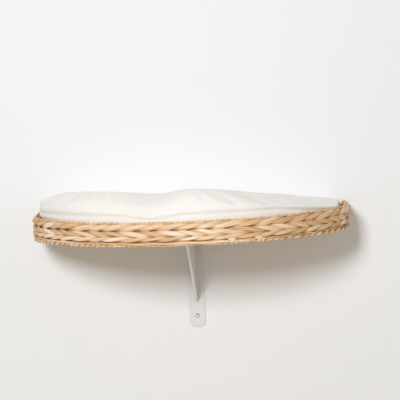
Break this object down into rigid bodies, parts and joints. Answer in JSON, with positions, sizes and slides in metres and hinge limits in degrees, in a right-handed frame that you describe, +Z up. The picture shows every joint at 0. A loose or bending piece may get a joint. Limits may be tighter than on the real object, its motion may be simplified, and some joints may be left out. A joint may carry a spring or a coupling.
{
  "type": "wall-mounted pet perch",
  "caption": "Half-round wall shelf for a pet: plywood board with a woven leaf rim, a loose plump cushion and a steel angle bracket with a web below.",
  "frame": {"origin": "on the wall plane, at the middle of the straight back edge, level with the underside of the board", "axes": "+X along the wall to the right as seen from the room, +Y into the wall, +Z up"},
  "size_m": [0.56, 0.3375, 0.2709],
  "materials": {
    "plywood": "sanded",
    "woven_leaf": "dry, fibrous, matt",
    "cream_cloth": "soft, matt",
    "filling": "loose fibre",
    "frame_wire": "drawn",
    "coated_steel": "silver-white, satin",
    "screw_steel": "zinc plated",
    "plug_nylon": "moulded"
  },
  "bodies": {
    "perch": {"shelf_board": "plywood", "rim_top_wire": "frame_wire", "rim_bottom_wire": "frame_wire", "rim_uprights": "frame_wire", "rim_top_binding": "woven_leaf", "rim_bottom_binding": "woven_leaf", "rim_upper_plait": "woven_leaf", "rim_lower_plait": "woven_leaf", "rim_nails": "screw_steel", "bracket_angle": "coated_steel", "bracket_web": "coated_steel", "wall_screws": "screw_steel", "board_screws": "screw_steel", "wall_plugs": "plug_nylon"},
    "cushion": {"cushion_cover_top": "cream_cloth", "cushion_cover_bottom": "cream_cloth", "cushion_filling": "filling"}
  },
  "joints": [
    {"name": "cushion_lift", "type": "slide", "parent": "perch", "child": "cushion", "axis": [0, 0, 1], "range_m": [0, 0.12]}
  ]
}
